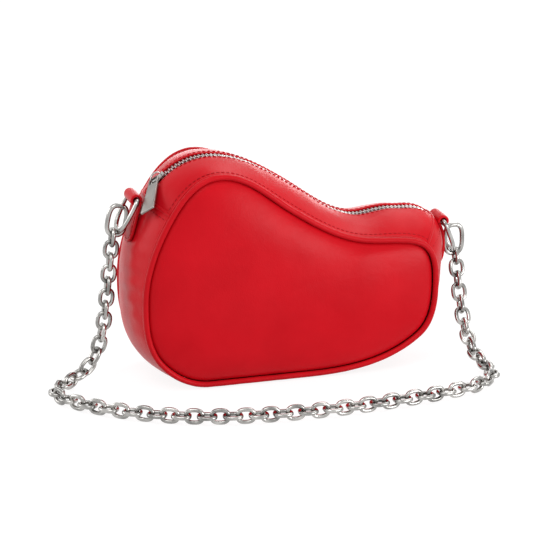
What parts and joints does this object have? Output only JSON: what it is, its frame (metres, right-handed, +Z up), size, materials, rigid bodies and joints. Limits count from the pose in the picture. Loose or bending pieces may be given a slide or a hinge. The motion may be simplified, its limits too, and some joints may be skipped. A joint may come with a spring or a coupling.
{
  "type": "crossbody bag with chain strap",
  "caption": "Small structured red leather crossbody bag with a wavy half-lip outline, piped edges, a metal top zip and a cable-chain strap on D-rings.",
  "frame": {"origin": "on the flat of the base, under the middle of the panels' width, half way between the panels", "axes": "+X to the right along the bag seen from the front, +Y to the back, +Z up"},
  "size_m": [0.3068, 0.1628, 0.1554],
  "materials": {
    "leather": "satin grained",
    "piping": "satin",
    "lining": "woven",
    "board": "matte",
    "zip": "polished teeth on a woven tape",
    "slider": "brushed nickel",
    "rings": "polished",
    "chain": "polished"
  },
  "bodies": {
    "bag": {"side_gusset": "leather", "top_gusset_front": "leather", "top_gusset_back": "leather", "front_panel": "leather", "back_panel": "leather", "tab_left": "leather", "tab_right": "leather", "front_piping": "piping", "back_piping": "piping", "lining_gusset": "lining", "lining_front": "lining", "lining_back": "lining", "base_board": "board", "front_foam_board": "board", "back_foam_board": "board", "zip_tape_front": "zip", "zip_tape_back": "zip", "zip_stop_left": "zip", "zip_stop_right": "zip", "chain_run_01": "chain", "chain_run_02": "chain", "chain_run_03": "chain", "chain_run_04": "chain", "chain_run_05": "chain", "chain_run_06": "chain", "chain_run_07": "chain", "chain_run_08": "chain", "chain_run_09": "chain", "chain_run_10": "chain"},
    "slider": {"zip_slider": "slider", "zip_slider_bridge": "slider"},
    "pull": {"zip_pull": "slider"},
    "left_d_ring": {"d_ring_left": "rings"},
    "right_d_ring": {"d_ring_right": "rings"},
    "left_strap_ring": {"strap_ring_left": "rings"},
    "right_strap_ring": {"strap_ring_right": "rings"}
  },
  "joints": [
    {"name": "zip_run", "type": "hinge", "parent": "bag", "child": "slider", "pos_m": [-0.05006, 0, 0.10926], "axis": [0, 1, 0], "range_deg": [0, 62], "deforming": ["zip_tape_front", "zip_tape_back"]},
    {"name": "pull_lift", "type": "hinge", "parent": "slider", "child": "pull", "pos_m": [-0.08673, 0, 0.14148], "axis": [-0.563, 0.6018, -0.5664], "range_deg": [0, 90]},
    {"name": "left_d_ring_swing", "type": "hinge", "parent": "bag", "child": "left_d_ring", "pos_m": [-0.10183, 0, 0.12946], "axis": [0, 1, 0], "range_deg": [0, 60], "deforming": ["chain_run_01", "chain_run_02"]},
    {"name": "right_d_ring_swing", "type": "hinge", "parent": "bag", "child": "right_d_ring", "pos_m": [0.11743, 0, 0.09534], "axis": [0, -1, 0], "range_deg": [0, 60], "deforming": ["chain_run_10"]},
    {"name": "left_strap_ring_tip", "type": "hinge", "parent": "left_d_ring", "child": "left_strap_ring", "pos_m": [-0.11318, 0, 0.10719], "axis": [0, -1, 0], "range_deg": [0, 40], "deforming": ["chain_run_01"]},
    {"name": "right_strap_ring_tip", "type": "hinge", "parent": "right_d_ring", "child": "right_strap_ring", "pos_m": [0.12679, 0, 0.07216], "axis": [0, 1, 0], "range_deg": [0, 40], "deforming": ["chain_run_10"]}
  ]
}
